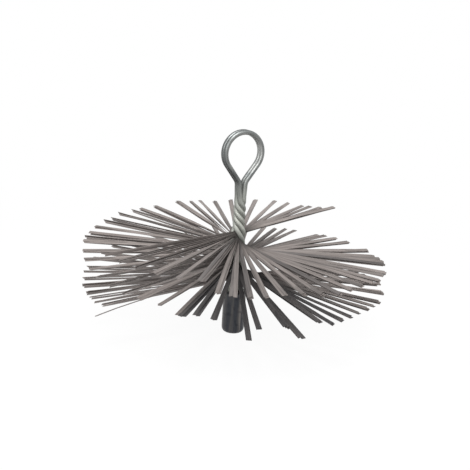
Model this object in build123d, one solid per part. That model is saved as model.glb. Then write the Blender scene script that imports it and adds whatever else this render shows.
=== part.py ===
from build123d import *
import math
import os

# A flue brush with flat spring steel strips. Two wires are each bent into an eye,
# laid side by side and twisted together, with the strips clamped between them, so
# the strip ends stand out in two ramps that wind down the stem like a double screw.
# A steel sleeve with a threaded socket for a rod is pressed on the wires' lower ends.
# The origin is the centre of the sleeve's lower face, +Z runs up the stem and the
# eyes stand in planes along XZ. All lengths are in millimetres, angles in degrees.

# Sleeve
SLEEVE_DIAMETER = 19.0
SLEEVE_LENGTH = 36.0
SLEEVE_FOOT_ROUND = 2.2
SLEEVE_TOP_CHAMFER = 1.0
SOCKET_CORE_DIAMETER = 10.2
SOCKET_DEPTH = 15.0
SLEEVE_WEB = 1.5
SLEEVE_FIT_CLEARANCE = 0.15

# Wires
WIRE_DIAMETER = 3.4
EYE_WIRE_GAP = 0.12
NECK_LEG_GAP = 1.8
SLACK_LEG_GAP = 0.5
TWIST_LEG_GAP = 1.3
PACK_LEG_GAP = 1.7
WIRE_END_CLEARANCE = 0.5

# Eyes: the radius is that of the wire's centre line
EYE_RADIUS = 16.6
EYE_RISE = 30.9

# Lengths of the stem, from the sleeve up to the neck where the eyes begin
BARE_STEM_LENGTH = 10.45
PACK_LEAD = 1.5
EASING_LENGTH = 4.3
TIGHT_LENGTH = 15.3
TIGHTENING_LENGTH = 7.0
SLACK_LENGTH = 6.43

# Length of the stem that one full turn of the wires takes
SLACK_PITCH = 106.0
TIGHT_PITCH = 24.0
PACK_PITCH = 40.0

# Strips
BRUSH_RADIUS = 125.0
TIP_RAGGEDNESS = 2.5
STRIP_WIDTH = 3.0
STRIP_THICKNESS = 0.3
STRIP_ROOT_GAP = 0.038
STRIP_ROLL = 45.0
STRIP_ROOT_DEPTH = 0.3
PACK_COUNT = 26
STRIPS_PER_PACK = 6
STRIPS_PER_PLATE = 3
PACK_THICKNESS = 2.2
PACK_HALF_WIDTH = 5.6
PACK_WIRE_CLEARANCE = 0.5
TUFT_SPREAD_SHARE = 0.15
GOLDEN_SHARE = 0.618034

TANGENT_STEP = 0.01
GAP_SAMPLES = 10
GAP_REACH = 3.0 * WIRE_DIAMETER

# The strips stand in tufts. Each pair is the direction of a tuft, counted from +X
# and rising along the ramp as it descends, and its slope, up being positive.
RAMP_A_ANGLES = [
    (15, 2.6), (22, 1.6), (27, 1.4), (31, 1.3), (38, 1.9), (44, 2.5), (53, 2.5), (59, 2.4),
    (64, 2.5), (71, 2.0), (78, 3.0), (82, 2.7), (88, 3.3), (94, 3.2), (99, 2.6), (107, 2.8),
    (111, 2.9), (119, 3.1), (124, 2.3), (129, 2.6), (138, 2.6), (144, 2.5), (150, 2.3),
    (157, 2.8), (164, 1.2), (170, 0.0), (177, -1.0), (184, -1.4), (192, -2.0), (200, -2.3),
    (207, -2.0), (215, -2.0), (222, -2.6), (227, -2.1), (234, -2.1), (245, -8.0),
    (251, -4.0), (257, -3.8), (264, -8.0), (270, -3.6), (276, -5.0), (280, -4.1), (285, -4.2),
    (289, -3.2), (295, -2.8), (301, -3.2), (308, -3.4), (313, -2.4), (319, -3.0), (326, -4.4),
    (332, -2.6), (338, -4.5), (344, -4.0), (350, -3.6), (356, -3.4), (362, -3.2), (368, -3.0),
]
RAMP_B_ANGLES = [
    (176, -0.5), (183, -0.6), (190, -0.8), (197, -1.0), (205, -1.0), (213, -1.0), (221, -0.8),
    (229, -0.4), (235, -2.4), (240, -3.3), (245, -4.4), (250, -3.9), (256, -2.8), (263, -3.0),
    (270, -3.4), (278, -4.2), (283, -3.0), (290, -3.0), (298, -3.3), (304, -2.8), (310, -3.0),
    (316, -3.3), (322, -3.2), (328, -3.3), (332, -2.6), (337, -2.8), (342, -3.4), (345, -3.6),
    (350, -2.3), (357, -2.1), (365, -2.0), (372, -1.4), (378, -1.3), (382, -1.6), (388, -1.4),
    (394, -1.2), (398, -0.7), (403, -1.0), (408, -0.7), (416, -0.4), (423, -0.8), (431, -0.6),
    (438, -0.9), (446, -0.6), (453, -0.4), (461, -0.8), (468, -0.6), (476, -1.0), (483, -0.8),
    (491, -1.2), (498, -1.0), (505, -1.4), (511, -2.4), (517, -2.6), (525, -2.6), (533, -2.5),
    (538, -2.2), (543, -2.1), (548, -0.9),
]

# Values that follow from the ones above
wire_radius = WIRE_DIAMETER / 2
pack_wire_offset = PACK_THICKNESS / 2 + PACK_WIRE_CLEARANCE + wire_radius
pack_leg_offset = (WIRE_DIAMETER + PACK_LEG_GAP) / 2
twist_leg_offset = (WIRE_DIAMETER + TWIST_LEG_GAP) / 2
slack_leg_offset = (WIRE_DIAMETER + SLACK_LEG_GAP) / 2
neck_leg_offset = (WIRE_DIAMETER + NECK_LEG_GAP) / 2
eye_wire_offset = (WIRE_DIAMETER + EYE_WIRE_GAP) / 2
stem_radius = math.hypot(pack_wire_offset, pack_leg_offset) + wire_radius
sleeve_bore_radius = stem_radius + SLEEVE_FIT_CLEARANCE
sleeve_bore_floor = SOCKET_DEPTH + SLEEVE_WEB
wire_end_height = sleeve_bore_floor + WIRE_END_CLEARANCE
strip_count = PACK_COUNT * STRIPS_PER_PACK
strip_root_radius = PACK_HALF_WIDTH - STRIP_ROOT_DEPTH

# The height from strip to strip that keeps the rolled strips a gap apart at the root,
# where each is lower than the last and turned on from it
strip_roll_turn = math.radians(STRIP_ROLL)
root_run = 2 * math.pi * strip_root_radius / PACK_PITCH
strip_lean = math.cos(strip_roll_turn) + root_run * math.sin(strip_roll_turn)
strip_step = (STRIP_THICKNESS + STRIP_ROOT_GAP) / strip_lean
plate_height = STRIPS_PER_PLATE * strip_step

# Heights on the stem
pack_top_height = SLEEVE_LENGTH + BARE_STEM_LENGTH + strip_count * strip_step
lead_top_height = pack_top_height + PACK_LEAD
tight_bottom_height = lead_top_height + EASING_LENGTH
tight_top_height = tight_bottom_height + TIGHT_LENGTH
slack_end_height = tight_top_height + TIGHTENING_LENGTH
neck_height = slack_end_height + SLACK_LENGTH
eye_centre_height = neck_height + EYE_RISE

# The arc of a leg from the neck up to where it meets the round of its eye
flare_radius = (neck_leg_offset**2 + EYE_RISE**2 - EYE_RADIUS**2) / (2 * (EYE_RADIUS - neck_leg_offset))
flare_centre = neck_leg_offset + flare_radius

# Down the stem: height, degrees of twist per millimetre, the offset of each wire from
# the strips' middle plane, and the offset of each leg along that plane
STATIONS = [
    (neck_height, 0.0, eye_wire_offset, neck_leg_offset),
    (slack_end_height, 360 / SLACK_PITCH, eye_wire_offset, slack_leg_offset),
    (tight_top_height, 360 / TIGHT_PITCH, twist_leg_offset, twist_leg_offset),
    (tight_bottom_height, 360 / TIGHT_PITCH, twist_leg_offset, twist_leg_offset),
    (lead_top_height, 360 / PACK_PITCH, pack_wire_offset, pack_leg_offset),
    (wire_end_height, 360 / PACK_PITCH, pack_wire_offset, pack_leg_offset),
]


def share_down(upper, lower, height):
    """How far height lies from one station down to the next, from 0 to 1."""
    span = upper[0] - lower[0]
    return min(max((upper[0] - height) / span, 0), 1)


def turn_at(height):
    """Degrees that the wires have turned between the neck and a height."""
    turned = 0
    for upper, lower in zip(STATIONS, STATIONS[1:]):
        share = share_down(upper, lower, height)
        rate_there = upper[1] + (lower[1] - upper[1]) * share
        turned += (upper[0] - lower[0]) * share * (upper[1] + rate_there) / 2
    return turned


def offset_at(height, column):
    """One offset of the wires at a height, eased from station to station."""
    offset = STATIONS[0][column]
    for upper, lower in zip(STATIONS, STATIONS[1:]):
        share = share_down(upper, lower, height)
        offset += (lower[column] - upper[column]) * share * share * (3 - 2 * share)
    return offset


def in_plane(turn, along, across, height):
    """A point beside the axis, from offsets along and across the strips' plane."""
    return Vector(along, across, height).rotate(Axis.Z, turn)


def leg_point(height, wire_side, leg_side):
    """The centre line of one leg of one wire."""
    across = wire_side * offset_at(height, 2)
    along = leg_side * offset_at(height, 3)
    return in_plane(turn_at(height), along, across, height)


def leg_heights():
    """Heights down the twisted legs, no more than a quarter turn of the wires apart."""
    heights = [neck_height]
    for upper, lower in zip(STATIONS, STATIONS[1:]):
        turned = turn_at(lower[0]) - turn_at(upper[0])
        steps = max(1, math.ceil(turned / 90))
        span = upper[0] - lower[0]
        heights += [upper[0] - span * step / steps for step in range(1, steps + 1)]
    return heights


def arc(start, start_direction, end):
    """The circular arc that leaves start in a direction and reaches end."""
    chord = end - start
    cosine = chord.normalized().dot(start_direction)
    corner = start + start_direction * (chord.length / (2 * cosine))
    middle = (start + end) / 2
    return ThreePointArc(start, middle + (corner - middle) * (cosine / (1 + cosine)), end)


def biarc(start, start_direction, end, end_direction):
    """Two arcs that meet smoothly and fit a direction at each end."""
    chord = end - start
    both = start_direction + end_direction
    squeeze = 2 * (1 - start_direction.dot(end_direction))
    along = chord.dot(both)
    root = math.sqrt(along * along + squeeze * chord.dot(chord))
    reach = chord.dot(chord) / (along + root)
    first_corner = start + start_direction * reach
    second_corner = end - end_direction * reach
    joint = (first_corner + second_corner) / 2
    onward = (second_corner - first_corner).normalized()
    return [arc(start, start_direction, joint), arc(joint, onward, end)]


def leg_arcs(wire_side, leg_side):
    """The arcs of a twisted leg, from below its eye down to its end in the sleeve."""
    heights = leg_heights()
    points = [leg_point(height, wire_side, leg_side) for height in heights]
    directions = []
    for height in heights:
        ahead = leg_point(height - TANGENT_STEP, wire_side, leg_side)
        behind = leg_point(height + TANGENT_STEP, wire_side, leg_side)
        directions.append((ahead - behind).normalized())
    arcs = []
    for span in zip(points, directions, points[1:], directions[1:]):
        arcs += biarc(*span)
    return arcs


def eye_arcs(wire_side):
    """The eye of one wire: up a flare, round the eye and down the other flare."""
    across = wire_side * eye_wire_offset
    meet_angle = math.atan2(EYE_RISE, flare_centre)
    top = Vector(0, across, eye_centre_height + EYE_RADIUS)

    def flare(side):
        points = []
        for angle in (0, meet_angle / 2, meet_angle):
            along = flare_centre - flare_radius * math.cos(angle)
            points.append(Vector(side * along, across, neck_height + flare_radius * math.sin(angle)))
        return points

    right_flare = flare(1)
    left_flare = flare(-1)
    return [
        ThreePointArc(*right_flare),
        ThreePointArc(right_flare[-1], top, left_flare[-1]),
        ThreePointArc(*reversed(left_flare)),
    ]


def least_gap(arcs):
    """The least gap of a wire to itself, measured on points of its centre line."""
    points = []
    walked = 0
    for piece in arcs:
        for sample in range(GAP_SAMPLES):
            share = sample / GAP_SAMPLES
            points.append((walked + piece.length * share, piece.position_at(share)))
        walked += piece.length
    least = walked
    for index, (first_walk, first) in enumerate(points):
        for second_walk, second in points[index + 1:]:
            if second_walk - first_walk > GAP_REACH:
                least = min(least, (second - first).length)
    return least - WIRE_DIAMETER


def eye_wire(wire_side):
    """One wire in one piece: up one leg, round the eye and down the other leg."""
    right_leg = leg_arcs(wire_side, 1)
    left_leg = leg_arcs(wire_side, -1)
    arcs = [Edge.reversed(piece) for piece in reversed(right_leg)]
    arcs += eye_arcs(wire_side) + left_leg
    path = Wire(arcs)
    start = right_leg[-1].position_at(1)
    heading = right_leg[-1].tangent_at(1) * -1
    section = Plane(origin=start, z_dir=heading) * Circle(wire_radius)
    print("least gap of a wire to itself:", round(least_gap(arcs), 3))
    return sweep(section, path)


def sleeve():
    """The socket sleeve, with the rod's threaded bore below and the wires' bore above."""
    outer = SLEEVE_DIAMETER / 2
    body = Cylinder(outer, SLEEVE_LENGTH, align=(Align.CENTER, Align.CENTER, Align.MIN))
    body = fillet(body.edges().sort_by(Axis.Z)[0], SLEEVE_FOOT_ROUND)
    body = chamfer(body.edges().sort_by(Axis.Z)[-1], SLEEVE_TOP_CHAMFER)
    low = (Align.CENTER, Align.CENTER, Align.MIN)
    socket = Cylinder(SOCKET_CORE_DIAMETER / 2, SOCKET_DEPTH, align=low)
    bore = Cylinder(sleeve_bore_radius, SLEEVE_LENGTH - sleeve_bore_floor, align=low)
    return body - socket - Pos(0, 0, sleeve_bore_floor) * bore


def pack_plates(number):
    """The strip middles that the wires clamp in one pack, each few of them as a plate."""
    plates = []
    for first in range(number * STRIPS_PER_PACK, (number + 1) * STRIPS_PER_PACK, STRIPS_PER_PLATE):
        height = pack_top_height - (first + STRIPS_PER_PLATE / 2) * strip_step
        plate = Box(2 * PACK_HALF_WIDTH, PACK_THICKNESS, plate_height)
        plates.append(Pos(0, 0, height) * Rot(0, 0, turn_at(height)) * plate)
    return plates


def jitter(index, salt):
    """An even scatter between -1 and 1 that is the same on every run."""
    return 2 * ((index + salt) * GOLDEN_SHARE % 1) - 1


def strip_end(index, tufts, side):
    """One end of a strip: a flat bar from the pack's edge out to its tip."""
    height = pack_top_height - (index + 0.5) * strip_step
    turn = turn_at(height)
    ramp_turn = 360 if side > 0 else 180
    direction, slope = min(tufts, key=lambda tuft: abs(tuft[0] + ramp_turn - turn))
    spread = (turn - ramp_turn - direction) * TUFT_SPREAD_SHARE
    tip_turn = math.radians(direction + spread)
    reach = BRUSH_RADIUS - TIP_RAGGEDNESS * (1 + jitter(index, side)) / 2
    rise = (reach - PACK_HALF_WIDTH) * math.tan(math.radians(slope))
    tip = Vector(reach * math.cos(tip_turn), reach * math.sin(tip_turn), height + rise)
    root = in_plane(turn, side * strip_root_radius, 0, height)
    outward = (tip - root).normalized()
    sideways = Vector(0, 0, 1).cross(outward).normalized()
    face = outward.cross(sideways).rotate(Axis((0, 0, 0), outward), STRIP_ROLL)
    frame = Plane(origin=root, x_dir=outward, z_dir=face)
    align = (Align.MIN, Align.CENTER, Align.CENTER)
    return frame * Box((tip - root).length, STRIP_WIDTH, STRIP_THICKNESS, align=align)


def bristle_pack(number):
    """A few strips, both ends, in one piece with their slice of the pack."""
    pieces = pack_plates(number)
    first = number * STRIPS_PER_PACK
    for index in range(first, first + STRIPS_PER_PACK):
        pieces.append(strip_end(index, RAMP_A_ANGLES, 1))
        pieces.append(strip_end(index, RAMP_B_ANGLES, -1))
    pack = pieces[0].fuse(*pieces[1:])
    if number > 0:
        pack -= pack_plates(number - 1)
    if number < PACK_COUNT - 1:
        pack -= pack_plates(number + 1)
    return pack


def write(name, shape):
    export_step(Part(shape.solids()), "parts/" + name + ".step")


os.makedirs("parts", exist_ok=True)
write("front_eye_wire", eye_wire(-1))
write("rear_eye_wire", eye_wire(1))
write("socket_sleeve", sleeve())
for pack_number in range(PACK_COUNT):
    write(f"bristle_pack_{pack_number + 1:02d}", bristle_pack(pack_number))
print("strip ends:", 2 * strip_count)
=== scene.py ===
import math

import bmesh
import bpy
from mathutils import Matrix, Quaternion, Vector


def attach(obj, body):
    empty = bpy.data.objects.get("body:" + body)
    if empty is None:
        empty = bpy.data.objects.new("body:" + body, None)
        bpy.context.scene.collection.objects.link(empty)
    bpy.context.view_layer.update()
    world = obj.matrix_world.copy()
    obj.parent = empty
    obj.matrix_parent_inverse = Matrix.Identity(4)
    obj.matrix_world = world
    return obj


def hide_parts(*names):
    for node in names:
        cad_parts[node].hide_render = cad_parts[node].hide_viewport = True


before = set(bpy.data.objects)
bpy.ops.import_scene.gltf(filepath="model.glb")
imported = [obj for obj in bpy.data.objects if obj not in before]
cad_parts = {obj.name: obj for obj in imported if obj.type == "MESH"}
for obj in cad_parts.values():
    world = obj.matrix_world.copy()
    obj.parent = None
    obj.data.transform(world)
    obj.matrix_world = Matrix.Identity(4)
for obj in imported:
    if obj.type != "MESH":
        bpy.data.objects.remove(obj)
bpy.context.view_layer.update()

# The looks of a flue brush: two galvanised wires bent into a double eye and twisted,
# flat steel strips clamped between them in two winding ramps, and a dark steel sleeve.
# The origin is the centre of the sleeve's lower face, and +Z runs up the stem.
# Lengths of the brush are in millimetres, and become metres in piece_object(). Those of
# its materials, the floor, the lamps and the camera are in metres. Angles are in degrees.

MM = 0.001

# Sleeve
SLEEVE_RADIUS = 9.5
SLEEVE_LENGTH = 36.0
SLEEVE_FOOT_ROUND = 2.8
SLEEVE_FOOT_RISE = 4.2
SLEEVE_TOP_CHAMFER = 1.0
SLEEVE_WEB = 1.5
WIRE_BORE_RADIUS = 6.0
WIRE_BORE_CHAMFER = 0.4
SOCKET_RADIUS = 5.9
SOCKET_MOUTH_CHAMFER = 0.7
SOCKET_DEPTH = 15.0
SLEEVE_SIDES = 72
FOOT_ROUND_STEPS = 6
SLEEVE_SHARP_ANGLE = 40
MERGE_DISTANCE = 0.001

# The ridge of the socket's thread, whose foot lies a little way in the wall
THREAD_PITCH = 1.75
THREAD_DEPTH = 0.85
THREAD_TURNS = 7
THREAD_STEPS = 32
THREAD_FOOT_HALF_WIDTH = 0.75
THREAD_CREST_HALF_WIDTH = 0.12
THREAD_FOOT_DEPTH = 0.1

# Wires, pressed together where they are twisted. An offset is how far a centre line lies
# from the stem's axis, across the plane of the eyes and strips or along it
WIRE_RADIUS = 2.0
WIRE_SIDES = 18
WIRE_STEP = 0.9
WIRE_END_CLEARANCE = 0.5
EYE_OFFSET = 1.98
NECK_OFFSET = 2.6
SLACK_OFFSET = 2.02
TWIST_OFFSET = 2.25
PACK_ACROSS_OFFSET = 3.2
PACK_ALONG_OFFSET = 2.5

# The side of the stem that a wire is on, and a leg
FRONT = -1
REAR = 1
RIGHT = 1
LEFT = -1

# Eyes, with the radius of the wire's centre line
EYE_RADIUS = 16.7
EYE_RISE = 26.9
NECK_BEND_RADIUS = 8.0

# Lengths of the stem, from the sleeve up to the neck where the eyes begin
BARE_STEM_LENGTH = 10.45
PACK_LEAD = 1.5
EASING_LENGTH = 4.3
TIGHT_LENGTH = 15.3
TIGHTENING_LENGTH = 7.0
SLACK_LENGTH = 10.43

# Length of the stem that one full turn of the wires takes
SLACK_PITCH = 137.55
TIGHT_PITCH = 24.0
PACK_PITCH = 40.0

# Strips. The step is the height from each strip to the next one down
BRUSH_RADIUS = 125.0
STRIP_WIDTH = 3.0
STRIP_THICKNESS = 0.3
STRIP_STEP = 0.260845
STRIP_ROLL = 45.0
STRIP_ON_EDGE = 90.0
STRIP_ROOT_RADIUS = 5.3
PACK_HALF_WIDTH = 5.6
PACK_COUNT = 26
STRIPS_PER_PACK = 6
CLAMP_LAYERS = 12
CLAMP_LAYER_STEP = 0.19

# The sections of a strip, as shares of its run from root to tip, and of the root's radius
# where the wires clamp it. Its face turns to its own lean between the roll shares
RUN_SHARES = [1.0, 0.97, 0.85, 0.65, 0.5, 0.35, 0.2, 0.08, 0.0]
CLAMP_SHARES = [0.6, 0.2, -0.2, -0.6]
ROLL_SHARES = (0.04, 0.6)

# In the photograph the strips on the right slope up and those on the left down, by so many
# degrees, and the left tips reach further out and the right ones less, by so many millimetres
STEM_LEAN_SLOPE = 0.65
REACH_SHIFT = 1.8

# How much a strip may differ from its tuft, and a tuft from its neighbours
TIP_RAGGEDNESS = 2.5
SAG_SCATTER = 1.2
SLOPE_SCATTER = 0.4
STRIP_LEAN_SCATTER = 7
TUFT_LEAN_SCATTER = 8
TIP_TWIST_SCATTER = 14

# Even scatters step by the golden share, and each starts from a salt of its own
GOLDEN_SHARE = 0.618034
REACH_SALT = 0
STRIP_LEAN_SALT = 3
TUFT_CHOICE_SALT = 5
SAG_SALT = 7
TIP_TWIST_SALT = 9
BRIGHTNESS_SALT = 11
SLOPE_SALT = 13
TUFT_LEAN_SALT = 17

# The two ramps are the two ends of the strips, and each counts its directions from +X
# where the wires have turned so many degrees
RAMP_A = 1
RAMP_B = -1
RAMP_TURNS = {RAMP_A: 360, RAMP_B: 180}

# Tufts: the direction, which rises down the ramp, the slope, and the share of their own
# directions that the strips keep, where that isn't TUFT_SPREAD_SHARE
TUFT_SPREAD_SHARE = 0.12
TUFTS = {
    RAMP_A: [
        (15, 2.6), (22, 1.6), (27, 1.4), (31, 1.3), (38, 1.9), (44, 2.5), (53, 2.5), (59, 2.4),
        (64, 2.5), (71, 2.0), (78, 3.0), (82, 2.7), (88, 3.3), (99, 2.6), (107, 2.8),
        (111, 2.9), (119, 3.1), (124, 2.3), (129, 2.6), (138, 2.6), (144, 1.9), (150, 2.1),
        (157, 2.8), (164, 1.2), (170, 0.0), (177, -1.0), (184, -1.4), (192, -2.0), (200, -2.3),
        (207, -2.0), (215, -2.0), (222.5, -4.2, 0.5), (227.5, -2.9, 0.5), (233.3, -3.4),
        (245.5, -9.6), (248, -5.2), (258, -4.8, 0.3), (263.5, -9.0, 0.5), (270, -3.6),
        (276, -5.4), (280, -4.3), (285, -4.2), (289, -3.2), (295, -2.8), (301, -3.2),
        (308, -3.4), (319, -3.0), (326, -4.4), (332, -2.6), (338, -4.5), (344, -4.0),
        (350, -3.6), (356, -3.4), (362, -3.2), (368, -3.0),
    ],
    RAMP_B: [
        (176, -0.5), (183, -0.6), (190, -0.8), (197, -1.0), (205, -1.0), (213, -1.0),
        (221, -0.8), (229, -0.4, 0.3), (234.4, -3.8, 0.3), (239.5, -4.4, 0.6), (245, -4.4),
        (250, -3.9, 0.2), (256, -2.8), (263, -3.0), (270, -3.4), (278, -4.2), (283, -3.0),
        (290, -3.0), (298, -3.3), (304, -3.5), (310, -3.0), (316, -3.3), (328, -2.9),
        (332, -2.6), (337, -2.8), (342, -3.4), (345, -3.6), (350, -2.3), (365, -2.0),
        (372, -1.4), (378, -1.3), (382, -1.6), (394, -1.2), (398, -0.7), (403, -1.0),
        (408, -0.7), (416, -0.4), (423, -0.8), (431, -0.6), (438, -0.9), (446, -0.6),
        (453, -0.4), (461, -0.8), (468, -0.6), (476, -1.0), (483, -0.8), (491, -1.2),
        (498, -1.0), (506, -2.2), (511, -2.4), (517, -2.6), (525, -2.6), (533, -2.5),
        (538, -2.2), (543, -2.1), (548, -0.9),
    ],
}

# How the strips' faces lean near their tips, round the brush: the direction, the lean
# there, and the lean that about half of the tufts have instead
TIP_LEANS = [
    (-30, 24, 20), (20, 22, 18), (50, 8, 10), (78, 4, 0), (92, 50, -16), (150, 48, -18),
    (205, 50, -16), (211, 46, -14), (213, 4, -12), (225, 8, -6), (245, 14, 10), (275, 26, 20),
    (300, 26, 20), (330, 24, 20), (380, 22, 18),
]

# The end of ramp A, lowest on the brush, where the strips lean less
LAST_LEAN_DIRECTION = 280
LAST_LEAN_EASE = 12.0

# One bent strip end that hangs below the rest, seen on edge
STRAY_STRIP = 155
STRAY_AIM = (542, -6.6)
STRAY_LEAN = 16.0
STRAY_SAG = 3.5

# How bright the strips are, from 0 to 1, and the painted shade on those at the front, heaviest on ramp
# A, which lies
# under ramp B there: the share of brightness it takes, and the directions between which it begins and
# fades
MEAN_BRIGHTNESS = 0.62
BRIGHTNESS_SCATTER = 0.38
FRONT_SHADE = {
    RAMP_A: (0.92, (212, 222), (276, 320)),
    RAMP_B: (0.48, (194, 216), (325, 350)),
}

# Finishes. A noise has its marks per metre, along a wire or strip and across it or along
# X, Y and Z, and its detail. Colours have their places from 0 to 1, and a range has the
# values at 0 and at 1
WHITE = (1.0, 1.0, 1.0)
NOISE_ROUGHNESS = 0.6
BUMP_DISTANCE = 0.0001

# The colour sockets of a mix node, which shares their names with its other sockets
MIX_FIRST = 6
MIX_SECOND = 7
MIX_RESULT = 2

# Galvanised wire. The ranges run from the stem up to the eye, and the painted dark reflection on the
# eye's outer side starts and ends so many millimetres outside the wire's centre line
POLISH_HEIGHTS = (0.112, 0.135)
OUTER_SHADE_START = -0.6
OUTER_SHADE_END = 1.4
OUTER_SHADE_COLOURS = [(0.0, WHITE), (1.0, (0.5, 0.52, 0.53))]
DRAW_LINE_NOISE = ((6, 750, 750), 2.0)
DRAW_LINE_COLOURS = [(0.42, (0.22, 0.22, 0.22)), (0.52, WHITE)]
ZINC_CLOUD_NOISE = ((60, 140, 140), 3.0)
EYE_ZINC_COLOURS = [(0.35, (0.25, 0.258, 0.252)), (0.65, (0.39, 0.398, 0.386))]
STEM_ZINC_COLOURS = [(0.35, (0.25, 0.26, 0.238)), (0.65, (0.34, 0.349, 0.315))]
DRAW_LINE_RANGE = (0.3, 0.6)
ZINC_METALLIC_RANGE = (0.25, 0.6)
ZINC_ROUGHNESS_RANGE = (0.55, 0.36)

# Strip steel. Painted shade is darkest at the stem, where the strips crowd together, and ends at the
# outer radius
STRIP_COLOURS = [
    (0.0, (0.04, 0.04, 0.043)), (0.25, (0.18, 0.163, 0.154)),
    (0.6, (0.245, 0.22, 0.207)), (1.0, (0.33, 0.3, 0.283)),
]
STAIN_NOISE = ((70, 200, 200), 5.0)
STAIN_RANGE = (0.0, 0.8)
STAIN_COLOUR = (0.62, 0.56, 0.55, 1)
ROOT_SHADE_RADII = (0.008, 0.03)
ROOT_SHADE_COLOURS = [(0.0, (0.32, 0.33, 0.32)), (1.0, WHITE)]
STREAK_NOISE = ((18, 850, 850), 4.0)
STREAK_COLOURS = [(0.36, (0.35, 0.35, 0.35)), (0.6, (1.08, 1.08, 1.08))]
STREAK_SHARE = 0.7
STRIP_METALLIC = 0.35
STRIP_ROUGHNESS_RANGE = (0.68, 0.5)
STRIP_BUMP_STRENGTH = 0.2

# Sleeve steel
BAND_NOISE = ((190, 190, 14), 3.0)
BAND_COLOURS = [
    (0.4, (0.03, 0.033, 0.04)), (0.54, (0.062, 0.06, 0.061)), (0.64, (0.18, 0.165, 0.155)),
]
BLOTCH_NOISE = ((260, 260, 260), 5.0)
SPECK_COLOURS = [(0.32, (0.45, 0.45, 0.5)), (0.46, WHITE)]
SPECK_SHARE = 0.8
SLEEVE_METALLIC = 0.6
SLEEVE_ROUGHNESS_RANGE = (0.5, 0.3)
SLEEVE_BUMP_STRENGTH = 0.12

# The studio. What is seen directly is white, while the brush itself gets a softer light,
# and the floor glows a little less near the brush, so that its shadow still shows
FILL_LEVEL = 0.6
SEEN_LEVEL = 1.0
FLOOR_RADIUS = 3.0
FLOOR_SIDES = 64
FLOOR_GREY = (0.85, 0.85, 0.85, 1)
FLOOR_ROUGHNESS = 0.9
GLOW_RADII = (0.1, 0.6)
GLOW_RANGE = (0.94, 1.0)
LAMP_WIDTH = 0.6
LAMP_AIM = (0, 0, 0.08)
LAMPS = [("top_softbox", (-0.25, -0.4, 1.0), 13.0), ("left_softbox", (-0.9, -0.7, 0.5), 5.0)]

# The photograph's view: from the left front, a little above, rolled a little
CAMERA_AZIMUTH = -30
CAMERA_ELEVATION = 14.7
CAMERA_ROLL = 3.35
CAMERA_AIM = (0, 0, 0.084)
CAMERA_DISTANCE = 0.690
CAMERA_STEP_LEFT = 0.0026
CAMERA_LENS = 64.06
CAMERA_SENSOR_WIDTH = 36.0

# Heights on the stem
WIRE_BORE_FLOOR = SOCKET_DEPTH + SLEEVE_WEB
WIRE_END_HEIGHT = WIRE_BORE_FLOOR + WIRE_END_CLEARANCE
PACK_TOP_HEIGHT = SLEEVE_LENGTH + BARE_STEM_LENGTH + PACK_COUNT * STRIPS_PER_PACK * STRIP_STEP
LEAD_TOP_HEIGHT = PACK_TOP_HEIGHT + PACK_LEAD
TIGHT_BOTTOM_HEIGHT = LEAD_TOP_HEIGHT + EASING_LENGTH
TIGHT_TOP_HEIGHT = TIGHT_BOTTOM_HEIGHT + TIGHT_LENGTH
SLACK_END_HEIGHT = TIGHT_TOP_HEIGHT + TIGHTENING_LENGTH
NECK_HEIGHT = SLACK_END_HEIGHT + SLACK_LENGTH
EYE_CENTRE_HEIGHT = NECK_HEIGHT + EYE_RISE
NECK_BEND_CENTRE = NECK_OFFSET + NECK_BEND_RADIUS

# Down the stem: height, degrees of twist per millimetre, and the two offsets in columns
# that have names below
STATIONS = [
    (NECK_HEIGHT, 0.0, EYE_OFFSET, NECK_OFFSET),
    (SLACK_END_HEIGHT, 360 / SLACK_PITCH, EYE_OFFSET, SLACK_OFFSET),
    (TIGHT_TOP_HEIGHT, 360 / TIGHT_PITCH, TWIST_OFFSET, TWIST_OFFSET),
    (TIGHT_BOTTOM_HEIGHT, 360 / TIGHT_PITCH, TWIST_OFFSET, TWIST_OFFSET),
    (LEAD_TOP_HEIGHT, 360 / PACK_PITCH, PACK_ACROSS_OFFSET, PACK_ALONG_OFFSET),
    (WIRE_END_HEIGHT, 360 / PACK_PITCH, PACK_ACROSS_OFFSET, PACK_ALONG_OFFSET),
]
ACROSS = 2
ALONG = 3


def share_between(value, start, end):
    """How far a value lies on the way from start to end, from 0 to 1."""
    return min(max((value - start) / (end - start), 0), 1)


def eased(value, start, end):
    """0 up to start and 1 from end on, rising smoothly between them."""
    share = share_between(value, start, end)
    return share * share * (3 - 2 * share)


def turn_at(height):
    """Degrees that the wires have turned between the neck and a height."""
    turned = 0
    for upper, lower in zip(STATIONS, STATIONS[1:]):
        share = share_between(height, upper[0], lower[0])
        rate_there = upper[1] + (lower[1] - upper[1]) * share
        turned += (upper[0] - lower[0]) * share * (upper[1] + rate_there) / 2
    return turned


def offset_at(height, column):
    """One offset of the wires at a height, eased from station to station."""
    offset = STATIONS[0][column]
    for upper, lower in zip(STATIONS, STATIONS[1:]):
        offset += (lower[column] - upper[column]) * eased(height, upper[0], lower[0])
    return offset


def in_plane(turn, along, across, height):
    """A point beside the axis, from offsets along and across the strips' plane."""
    point = Vector((along, across, height))
    point.rotate(Matrix.Rotation(math.radians(turn), 3, "Z"))
    return point


def jitter(index, salt):
    """An even scatter between -1 and 1 that is the same on every run."""
    return 2 * ((index + salt) * GOLDEN_SHARE % 1) - 1


# Mesh tools

def section_frame(point, forward, side):
    """A matrix with its Z along forward, its X as near to side as it can be."""
    forward = forward.normalized()
    side = (side - forward * side.dot(forward)).normalized()
    up = forward.cross(side)
    matrix = Matrix((side, up, forward)).transposed().to_4x4()
    matrix.translation = point
    return matrix


def metres_along(points, start=0):
    """How far on each of a run's points is, in metres, when the first one is at start."""
    alongs = [start]
    for before, after in zip(points, points[1:]):
        alongs.append(alongs[-1] + (after - before).length * MM)
    return alongs


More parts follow.
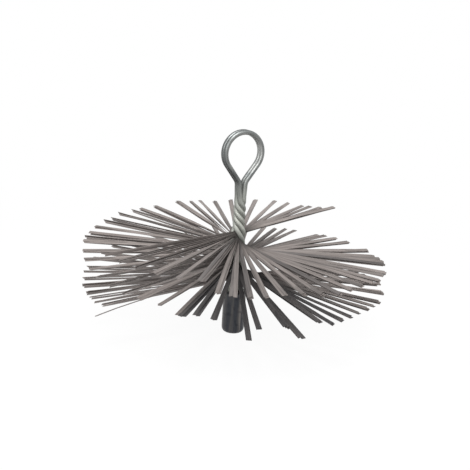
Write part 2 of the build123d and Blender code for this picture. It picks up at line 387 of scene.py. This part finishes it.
def sweep(bm, face, frames, alongs, run):
    """Extrudes a face through frames, and notes for each vertex where on the run it is."""
    def note(vertices, matrix, along):
        back = matrix.inverted()
        for vertex in vertices:
            local = back @ vertex.co
            vertex[run] = (along, local.x * MM, local.y * MM)

    note(face.verts, frames[0], alongs[0])
    for before, after, along in zip(frames, frames[1:], alongs[1:]):
        grown = bmesh.ops.extrude_face_region(bm, geom=[face, *face.edges, *face.verts])["geom"]
        face = next(part for part in grown if isinstance(part, bmesh.types.BMFace))
        bmesh.ops.transform(bm, matrix=after @ before.inverted(), verts=face.verts)
        note(face.verts, after, along)


def piece_object(name, bm, material, nodes):
    """Makes a finished piece of a bmesh in millimetres, on the body, in metres."""
    bmesh.ops.scale(bm, vec=(MM, MM, MM), verts=bm.verts)
    mesh = bpy.data.meshes.new(name)
    bm.to_mesh(mesh)
    bm.free()
    mesh.materials.append(material)
    piece = bpy.data.objects.new(name, mesh)
    bpy.context.scene.collection.objects.link(piece)
    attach(piece, "root")
    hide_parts(*nodes)
    return piece


# Material tools

def new_material(name):
    """A material with its node tree and its shader."""
    material = bpy.data.materials.new(name)
    material.use_nodes = True
    tree = material.node_tree
    shader = next(node for node in tree.nodes if node.type == "BSDF_PRINCIPLED")
    return material, tree, shader


def set_inputs(tree, node, inputs):
    """Sets a node's inputs to values, or links them to the outputs of other nodes."""
    for key, value in inputs.items():
        if isinstance(value, bpy.types.NodeSocket):
            tree.links.new(value, node.inputs[key])
        else:
            node.inputs[key].default_value = value


def add(tree, kind, inputs=None, **settings):
    """Adds a node, and sets its properties and inputs."""
    node = tree.nodes.new(kind)
    for key, value in settings.items():
        setattr(node, key, value)
    set_inputs(tree, node, inputs or {})
    return node


def own_run(tree):
    """The place on a wire's or strip's own run: along it, and across its section."""
    return add(tree, "ShaderNodeAttribute", attribute_name="run").outputs["Vector"]


def object_place(tree):
    """The place on the brush, in metres from the origin."""
    return add(tree, "ShaderNodeTexCoord").outputs["Object"]


def distance(tree, place, scale=(1, 1, 1), move=(0, 0, 0)):
    """How far a place is from the origin, when it has been scaled and then moved."""
    inputs = {"Vector": place, "Scale": scale, "Location": move}
    moved = add(tree, "ShaderNodeMapping", inputs).outputs["Vector"]
    return add(tree, "ShaderNodeVectorMath", {0: moved}, operation="LENGTH").outputs["Value"]


def noise(tree, place, marks, detail):
    """Noise with so many marks per metre along each axis of the place."""
    fine = add(tree, "ShaderNodeMapping", {"Vector": place, "Scale": marks}).outputs["Vector"]
    inputs = {"Vector": fine, "Scale": 1.0, "Detail": detail, "Roughness": NOISE_ROUGHNESS}
    return add(tree, "ShaderNodeTexNoise", inputs).outputs["Fac"]


def colour_at(tree, share, stops):
    """The colour at a share of the way through (place, colour) stops."""
    node = add(tree, "ShaderNodeValToRGB", {"Fac": share})
    band = node.color_ramp
    while len(band.elements) < len(stops):
        band.elements.new(0.5)
    for element, (place, colour) in zip(band.elements, stops):
        element.position = place
        element.color = (*colour, 1)
    return node.outputs["Color"]


def blend(tree, kind, share, first, second):
    """Two colours blended, with a share of the second."""
    inputs = {"Factor": share, MIX_FIRST: first, MIX_SECOND: second}
    mix = add(tree, "ShaderNodeMix", inputs, data_type="RGBA", blend_type=kind)
    return mix.outputs[MIX_RESULT]


def rise(tree, value, start, end):
    """0 up to start and 1 from end on, rising evenly between them."""
    inputs = {"Value": value, "From Min": start, "From Max": end}
    return add(tree, "ShaderNodeMapRange", inputs).outputs["Result"]


def spread(tree, share, low, high):
    """Maps 0 to low and 1 to high."""
    inputs = {"Value": share, "To Min": low, "To Max": high}
    return add(tree, "ShaderNodeMapRange", inputs).outputs["Result"]


def bump(tree, height, strength):
    """The normal of a surface roughened by a height between 0 and 1."""
    inputs = {"Height": height, "Strength": strength, "Distance": BUMP_DISTANCE}
    return add(tree, "ShaderNodeBump", inputs).outputs["Normal"]


# Materials

def galvanised_wire():
    """Zinc coated wire with draw lines: bright inside the eye, with a painted dark reflection round its
    outer side, dull on the stem.
    """
    material, tree, shader = new_material("galvanised_wire")
    lines = noise(tree, own_run(tree), *DRAW_LINE_NOISE)
    clouds = noise(tree, own_run(tree), *ZINC_CLOUD_NOISE)
    place = object_place(tree)
    height = add(tree, "ShaderNodeSeparateXYZ", {"Vector": place}).outputs["Z"]
    polish = rise(tree, height, *POLISH_HEIGHTS)
    # Painted dark reflection: the wire is darker on the outer side of the eye
    from_eye = distance(tree, place, scale=(1, 0, 1), move=(0, 0, -EYE_CENTRE_HEIGHT * MM))
    outside = rise(tree, from_eye, (EYE_RADIUS + OUTER_SHADE_START) * MM, (EYE_RADIUS + OUTER_SHADE_END) * MM)
    outer_shade = colour_at(tree, outside, OUTER_SHADE_COLOURS)
    eye_grey = blend(tree, "MULTIPLY", 1.0, colour_at(tree, clouds, EYE_ZINC_COLOURS), outer_shade)
    grey = blend(tree, "MIX", polish, colour_at(tree, clouds, STEM_ZINC_COLOURS), eye_grey)
    line_share = spread(tree, polish, *DRAW_LINE_RANGE)
    drawn = colour_at(tree, lines, DRAW_LINE_COLOURS)
    set_inputs(tree, shader, {
        "Base Color": blend(tree, "MULTIPLY", line_share, grey, drawn),
        "Metallic": spread(tree, polish, *ZINC_METALLIC_RANGE),
        "Roughness": spread(tree, polish, *ZINC_ROUGHNESS_RANGE),
    })
    return material


def strip_steel():
    """Rolled spring steel: dull, a little brown, streaked along the strip, with painted shade near the
    stem and on the strips at the front.
    """
    material, tree, shader = new_material("strip_steel")
    streaks = noise(tree, own_run(tree), *STREAK_NOISE)
    stains = noise(tree, own_run(tree), *STAIN_NOISE)
    # The tint is each strip's random tone, with the painted shade on the strips at the front
    brightness = add(tree, "ShaderNodeAttribute", attribute_name="tint").outputs["Fac"]
    toned_steel = colour_at(tree, brightness, STRIP_COLOURS)
    steel = blend(tree, "MULTIPLY", spread(tree, stains, *STAIN_RANGE), toned_steel, STAIN_COLOUR)
    # Painted shade: the strips are darker near the stem, where they crowd together
    from_stem = distance(tree, object_place(tree), scale=(1, 1, 0))
    root_shade = colour_at(tree, rise(tree, from_stem, *ROOT_SHADE_RADII), ROOT_SHADE_COLOURS)
    root_shaded = blend(tree, "MULTIPLY", 1.0, steel, root_shade)
    streaked = colour_at(tree, streaks, STREAK_COLOURS)
    set_inputs(tree, shader, {
        "Base Color": blend(tree, "MULTIPLY", STREAK_SHARE, root_shaded, streaked),
        "Metallic": STRIP_METALLIC,
        "Roughness": spread(tree, streaks, *STRIP_ROUGHNESS_RANGE),
        "Normal": bump(tree, streaks, STRIP_BUMP_STRENGTH),
    })
    return material


def sleeve_steel():
    """Oiled dark steel: drawn lengthwise, with paler bands down it and a few specks."""
    material, tree, shader = new_material("sleeve_steel")
    place = object_place(tree)
    bands = noise(tree, place, *BAND_NOISE)
    blotches = noise(tree, place, *BLOTCH_NOISE)
    dark = colour_at(tree, bands, BAND_COLOURS)
    specks = colour_at(tree, blotches, SPECK_COLOURS)
    set_inputs(tree, shader, {
        "Base Color": blend(tree, "MULTIPLY", SPECK_SHARE, dark, specks),
        "Metallic": SLEEVE_METALLIC,
        "Roughness": spread(tree, blotches, *SLEEVE_ROUGHNESS_RANGE),
        "Normal": bump(tree, blotches, SLEEVE_BUMP_STRENGTH),
    })
    return material


# Wires

def leg_point(height, wire_side, leg_side):
    """The centre line of one leg of one wire."""
    along = leg_side * offset_at(height, ALONG)
    across = wire_side * offset_at(height, ACROSS)
    return in_plane(turn_at(height), along, across, height)


def arc_points(centre, height, radius, start, end, across):
    """Points on an arc from just after its start to its end, with angles in radians."""
    steps = math.ceil(radius * abs(end - start) / WIRE_STEP)
    points = []
    for step in range(1, steps + 1):
        angle = start + (end - start) * step / steps
        along = centre + radius * math.cos(angle)
        points.append(Vector((along, across, height + radius * math.sin(angle))))
    return points


def eye_points(wire_side):
    """The eye's centre line, from the right leg round to the left leg."""
    across = wire_side * EYE_OFFSET
    apart = math.hypot(NECK_BEND_CENTRE, EYE_RISE)
    lean = math.asin((EYE_RADIUS + NECK_BEND_RADIUS) / apart) - math.atan2(NECK_BEND_CENTRE, EYE_RISE)
    bend = arc_points(NECK_BEND_CENTRE, NECK_HEIGHT, NECK_BEND_RADIUS, math.pi, math.pi - lean, across)
    quarter = arc_points(0, EYE_CENTRE_HEIGHT, EYE_RADIUS, -lean, math.pi / 2, across)
    round_drop = EYE_RADIUS * math.sin(lean)
    round_start = Vector((EYE_RADIUS * math.cos(lean), across, EYE_CENTRE_HEIGHT - round_drop))
    steps = math.ceil((round_start - bend[-1]).length / WIRE_STEP)
    straight = [bend[-1].lerp(round_start, step / steps) for step in range(1, steps + 1)]
    right_half = bend + straight + quarter
    left_half = [Vector((-point.x, point.y, point.z)) for point in reversed(right_half[:-1])]
    return right_half + left_half


def wire_piece(name, wire_side, node, material):
    """One wire as one tube: up a leg, round the eye, down the other leg."""
    drop = NECK_HEIGHT - WIRE_END_HEIGHT
    steps = math.ceil(drop / WIRE_STEP)
    heights = [WIRE_END_HEIGHT + drop * step / steps for step in range(steps + 1)]
    points = [leg_point(height, wire_side, RIGHT) for height in heights]
    points += eye_points(wire_side)
    points += [leg_point(height, wire_side, LEFT) for height in reversed(heights)]
    frames = []
    side = Vector((0, 1, 0))
    for index, point in enumerate(points):
        before = points[max(index - 1, 0)]
        after = points[min(index + 1, len(points) - 1)]
        frames.append(section_frame(point, after - before, side))
        side = frames[-1].col[0].to_3d()
    bm = bmesh.new()
    run = bm.verts.layers.float_vector.new("run")
    disc = bmesh.ops.create_circle(
        bm, cap_ends=True, segments=WIRE_SIDES, radius=WIRE_RADIUS, matrix=frames[0])
    sweep(bm, disc["verts"][0].link_faces[0], frames, metres_along(points), run)
    bmesh.ops.recalc_face_normals(bm, faces=bm.faces)
    # All but the two ends are smooth
    for face in bm.faces:
        face.smooth = len(face.verts) == 4
    piece_object(name, bm, material, [node])


# Strips

def strip_height(index):
    """The height at which a strip is clamped."""
    return PACK_TOP_HEIGHT - (index + 0.5) * STRIP_STEP


def is_stray(index, ramp_side):
    """Whether this end of a strip is the bent one."""
    return index == STRAY_STRIP and ramp_side == RAMP_B


def strip_aim(index, ramp_side):
    """Where one end of a strip leaves the stem, where its tip is, and its tuft's direction."""
    height = strip_height(index)
    turn = turn_at(height)
    own_direction = turn - RAMP_TURNS[ramp_side]
    direction, slope, *own_share = min(TUFTS[ramp_side], key=lambda tuft: abs(tuft[0] - own_direction))
    if is_stray(index, ramp_side):
        direction, slope = STRAY_AIM
    spread_share = own_share[0] if own_share else TUFT_SPREAD_SHARE
    tip_turn = math.radians(direction + (own_direction - direction) * spread_share)
    rightward = math.cos(tip_turn - math.radians(CAMERA_AZIMUTH))
    raggedness = TIP_RAGGEDNESS * (1 + jitter(index, REACH_SALT + ramp_side)) / 2
    reach = BRUSH_RADIUS - raggedness - REACH_SHIFT * rightward
    slope += rightward * (STEM_LEAN_SLOPE + SLOPE_SCATTER * jitter(index, SLOPE_SALT + ramp_side))
    rise_to_tip = (reach - PACK_HALF_WIDTH) * math.tan(math.radians(slope))
    tip = Vector((reach * math.cos(tip_turn), reach * math.sin(tip_turn), height + rise_to_tip))
    root = in_plane(turn, ramp_side * STRIP_ROOT_RADIUS, 0, height)
    return root, tip, direction


def side_lean(direction):
    """The lean of a tuft near its tips, from the side of the brush it is on."""
    first_direction = TIP_LEANS[0][0]
    place = (direction - first_direction) % 360 + first_direction
    choice = 1 if jitter(direction, TUFT_CHOICE_SALT) > 0 else 2
    low, high = next(pair for pair in zip(TIP_LEANS, TIP_LEANS[1:]) if place <= pair[1][0])
    return low[choice] + (high[choice] - low[choice]) * share_between(place, low[0], high[0])


def lean_and_sag(index, ramp_side, direction):
    """How one end of a strip leans near its tip, and how far it bows at the middle of its run."""
    if is_stray(index, ramp_side):
        return STRAY_LEAN, STRAY_SAG
    lean = side_lean(direction)
    lean += TUFT_LEAN_SCATTER * jitter(direction, TUFT_LEAN_SALT)
    lean += STRIP_LEAN_SCATTER * jitter(index, STRIP_LEAN_SALT + ramp_side)
    if ramp_side == RAMP_A and direction > LAST_LEAN_DIRECTION:
        lean -= LAST_LEAN_EASE
    return lean, SAG_SCATTER * jitter(index, SAG_SALT + ramp_side)


def end_frames(index, ramp_side):
    """Frames of the strip's flat section from its tip in to its root, bowed most at the middle."""
    root, tip, direction = strip_aim(index, ramp_side)
    lean, sag = lean_and_sag(index, ramp_side, direction)
    outward = (tip - root).normalized()
    sideways = Vector((0, 0, 1)).cross(outward).normalized()
    frames = []
    for share in RUN_SHARES:
        roll = STRIP_ROLL + (lean - STRIP_ROLL) * eased(share, *ROLL_SHARES)
        face = outward.cross(sideways)
        face.rotate(Quaternion(outward, math.radians(roll)))
        width = face.cross(outward)
        bow = 4 * share * (1 - share)
        point = root.lerp(tip, share) + face * (sag * bow)
        frames.append(section_frame(point, outward * -ramp_side, width * ramp_side))
    tip_twist = math.radians(TIP_TWIST_SCATTER * jitter(index, TIP_TWIST_SALT + ramp_side))
    frames[0] = frames[0] @ Matrix.Rotation(tip_twist, 4, "Y")
    return frames


def strip_frames(index):
    """Frames of one strip from tip to tip, which stands on edge where the wires clamp it."""
    height = strip_height(index)
    turn = turn_at(height)
    layer = (index % CLAMP_LAYERS - (CLAMP_LAYERS - 1) / 2) * CLAMP_LAYER_STEP
    inward = in_plane(turn, -1, 0, 0)
    frames = end_frames(index, RAMP_A)
    for share in CLAMP_SHARES:
        point = in_plane(turn, share * STRIP_ROOT_RADIUS, layer * (1 - abs(share)), height)
        roll = math.radians(STRIP_ON_EDGE - (STRIP_ON_EDGE - STRIP_ROLL) * share)
        width = in_plane(turn, 0, math.cos(roll), math.sin(roll))
        frames.append(section_frame(point, inward, width))
    frames += reversed(end_frames(index, RAMP_B))
    return frames


def unshaded_share(index, ramp_side):
    """The share of its brightness that one end of a strip keeps under the painted shade at the front."""
    painted_shade, begins, fades = FRONT_SHADE[ramp_side]
    step_top = PACK_TOP_HEIGHT - index * STRIP_STEP
    direction = turn_at(step_top) - RAMP_TURNS[ramp_side]
    return 1 - painted_shade * eased(direction, *begins) * (1 - eased(direction, *fades))


def strip_pack(number, material):
    """The few strips of one pack in one piece."""
    bm = bmesh.new()
    run = bm.verts.layers.float_vector.new("run")
    tint = bm.verts.layers.float.new("tint")
    flat = Matrix.Diagonal((STRIP_WIDTH, STRIP_THICKNESS, 1, 1))
    for index in range(number * STRIPS_PER_PACK, (number + 1) * STRIPS_PER_PACK):
        earlier = len(bm.verts)
        frames = strip_frames(index)
        # Each strip starts a metre further on than the last, so that no two are marked alike
        alongs = metres_along([matrix.translation for matrix in frames], index)
        unit_square = bmesh.ops.create_grid(
            bm, x_segments=1, y_segments=1, size=0.5, matrix=frames[0] @ flat)
        sweep(bm, unit_square["verts"][0].link_faces[0], frames, alongs, run)
        bm.verts.ensure_lookup_table()
        vertices = bm.verts[earlier:]
        brightness = MEAN_BRIGHTNESS + BRIGHTNESS_SCATTER * jitter(index, BRIGHTNESS_SALT)
        # Each end's tint is the strip's random tone times the painted shade on the strips at the front
        for count, vertex in enumerate(vertices):
            ramp_side = RAMP_A if count < len(vertices) / 2 else RAMP_B
            vertex[tint] = brightness * unshaded_share(index, ramp_side)
    bmesh.ops.recalc_face_normals(bm, faces=bm.faces)
    suffix = f"{number + 1:02d}"
    piece_object("strips_" + suffix, bm, material, ["bristle_pack_" + suffix])


# Sleeve

def sleeve_outline():
    """Half the sleeve's section, as (radius, height): socket, foot, outside, top and wire bore."""
    outline = [
        (0, SOCKET_DEPTH),
        (SOCKET_RADIUS, SOCKET_DEPTH),
        (SOCKET_RADIUS, SOCKET_MOUTH_CHAMFER),
        (SOCKET_RADIUS + SOCKET_MOUTH_CHAMFER, 0),
    ]
    for step in range(FOOT_ROUND_STEPS + 1):
        angle = math.pi / 2 * step / FOOT_ROUND_STEPS
        radius = SLEEVE_RADIUS - SLEEVE_FOOT_ROUND * (1 - math.sin(angle))
        outline.append((radius, SLEEVE_FOOT_RISE * (1 - math.cos(angle))))
    outline += [
        (SLEEVE_RADIUS, SLEEVE_LENGTH - SLEEVE_TOP_CHAMFER),
        (SLEEVE_RADIUS - SLEEVE_TOP_CHAMFER, SLEEVE_LENGTH),
        (WIRE_BORE_RADIUS + WIRE_BORE_CHAMFER, SLEEVE_LENGTH),
        (WIRE_BORE_RADIUS, SLEEVE_LENGTH - WIRE_BORE_CHAMFER),
        (WIRE_BORE_RADIUS, WIRE_BORE_FLOOR),
        (0, WIRE_BORE_FLOOR),
    ]
    return outline


def thread_outline():
    """The section of the thread's ridge at the socket's mouth, as (radius, height)."""
    foot = SOCKET_RADIUS + THREAD_FOOT_DEPTH
    crest = SOCKET_RADIUS - THREAD_DEPTH
    middle = SOCKET_MOUTH_CHAMFER + THREAD_PITCH / 4
    return [
        (foot, middle - THREAD_FOOT_HALF_WIDTH),
        (crest, middle - THREAD_CREST_HALF_WIDTH),
        (crest, middle + THREAD_CREST_HALF_WIDTH),
        (foot, middle + THREAD_FOOT_HALF_WIDTH),
    ]


def line_of_edges(bm, outline):
    """The vertices and edges of an outline in the XZ plane."""
    vertices = [bm.verts.new((x, 0, z)) for x, z in outline]
    edges = [bm.edges.new(pair) for pair in zip(vertices, vertices[1:])]
    return vertices, edges


def sleeve_piece(material):
    """The sleeve, turned from its half section, with the thread in its socket."""
    about_stem = {"cent": (0, 0, 0), "axis": (0, 0, 1), "angle": math.tau}
    bm = bmesh.new()
    vertices, edges = line_of_edges(bm, sleeve_outline())
    bmesh.ops.spin(bm, geom=vertices + edges, steps=SLEEVE_SIDES, use_merge=True, **about_stem)
    bmesh.ops.remove_doubles(bm, verts=bm.verts, dist=MERGE_DISTANCE)
    climb = (0, 0, THREAD_PITCH / THREAD_STEPS)
    profile = line_of_edges(bm, thread_outline())[1]
    for _ in range(THREAD_TURNS):
        turned = bmesh.ops.spin(bm, geom=profile, steps=THREAD_STEPS, dvec=climb, **about_stem)
        profile = [part for part in turned["geom_last"] if isinstance(part, bmesh.types.BMEdge)]
    bmesh.ops.recalc_face_normals(bm, faces=bm.faces)
    for face in bm.faces:
        face.smooth = True
    piece = piece_object("sleeve", bm, material, ["socket_sleeve"])
    piece.data.set_sharp_from_angle(angle=math.radians(SLEEVE_SHARP_ANGLE))


# Floor, light and camera

def seen_ray(tree):
    """1 for the rays of the camera and of reflections and clear things, else 0."""
    path = add(tree, "ShaderNodeLightPath").outputs
    direct = {0: path["Is Camera Ray"], 1: path["Is Glossy Ray"]}
    first = add(tree, "ShaderNodeMath", direct, operation="MAXIMUM").outputs[0]
    either = {0: first, 1: path["Is Transmission Ray"]}
    return add(tree, "ShaderNodeMath", either, operation="MAXIMUM").outputs[0]


def set_world():
    """A white backdrop, which lights the brush less than it shines where it is seen."""
    world = bpy.data.worlds.new("studio")
    world.use_nodes = True
    tree = world.node_tree
    background = next(node for node in tree.nodes if node.type == "BACKGROUND")
    level = spread(tree, seen_ray(tree), FILL_LEVEL, SEEN_LEVEL)
    set_inputs(tree, background, {"Color": (*WHITE, 1), "Strength": level})
    bpy.context.scene.world = world


def floor_finish():
    """A pale floor that glows white where it is seen, but for a little of its shading near the brush."""
    material, tree, shader = new_material("pale_floor")
    set_inputs(tree, shader, {
        "Base Color": FLOOR_GREY,
        "Roughness": FLOOR_ROUGHNESS,
        "Specular IOR Level": 0.0,
    })
    outward = rise(tree, distance(tree, object_place(tree)), *GLOW_RADII)
    inputs = {0: seen_ray(tree), 1: spread(tree, outward, *GLOW_RANGE)}
    glow_share = add(tree, "ShaderNodeMath", inputs, operation="MULTIPLY").outputs[0]
    glow = add(tree, "ShaderNodeEmission", {"Color": (*WHITE, 1), "Strength": SEEN_LEVEL}).outputs[0]
    mixed = add(tree, "ShaderNodeMixShader", {0: glow_share, 1: shader.outputs[0], 2: glow}).outputs[0]
    output = next(node for node in tree.nodes if node.type == "OUTPUT_MATERIAL")
    set_inputs(tree, output, {"Surface": mixed})
    return material


def floor_piece():
    """The plain round floor that the brush stands on."""
    bm = bmesh.new()
    bmesh.ops.create_circle(bm, cap_ends=True, segments=FLOOR_SIDES, radius=FLOOR_RADIUS)
    mesh = bpy.data.meshes.new("floor")
    bm.to_mesh(mesh)
    bm.free()
    mesh.materials.append(floor_finish())
    floor = bpy.data.objects.new("floor", mesh)
    bpy.context.scene.collection.objects.link(floor)


def soft_light(name, place, power):
    """A square lamp that faces the brush."""
    data = bpy.data.lights.new(name, "AREA")
    data.shape = "SQUARE"
    data.size = LAMP_WIDTH
    data.energy = power
    lamp = bpy.data.objects.new(name, data)
    lamp.location = place
    lamp.rotation_euler = (Vector(LAMP_AIM) - Vector(place)).to_track_quat("-Z", "Y").to_euler()
    bpy.context.scene.collection.objects.link(lamp)


def set_camera():
    """A camera at the photograph's view, a step to the left of the line through its aim."""
    azimuth = math.radians(CAMERA_AZIMUTH)
    elevation = math.radians(CAMERA_ELEVATION)
    level = math.cos(elevation)
    away = Vector((math.sin(azimuth) * level, -math.cos(azimuth) * level, math.sin(elevation)))
    data = bpy.data.cameras.new("camera")
    data.lens = CAMERA_LENS
    data.sensor_width = CAMERA_SENSOR_WIDTH
    camera = bpy.data.objects.new("camera", data)
    camera.rotation_mode = "QUATERNION"
    roll = Quaternion((0, 0, 1), math.radians(CAMERA_ROLL))
    camera.rotation_quaternion = (-away).to_track_quat("-Z", "Y") @ roll
    right = camera.rotation_quaternion @ Vector((1, 0, 0))
    camera.location = Vector(CAMERA_AIM) + away * CAMERA_DISTANCE - right * CAMERA_STEP_LEFT
    bpy.context.scene.collection.objects.link(camera)
    bpy.context.scene.camera = camera


wire_finish = galvanised_wire()
strip_finish = strip_steel()
sleeve_finish = sleeve_steel()
wire_piece("front_wire", FRONT, "front_eye_wire", wire_finish)
wire_piece("rear_wire", REAR, "rear_eye_wire", wire_finish)
for pack_number in range(PACK_COUNT):
    strip_pack(pack_number, strip_finish)
sleeve_piece(sleeve_finish)

floor_piece()
set_world()
for lamp_name, lamp_place, lamp_power in LAMPS:
    soft_light(lamp_name, lamp_place, lamp_power)
set_camera()
bpy.context.scene.view_settings.view_transform = "Standard"
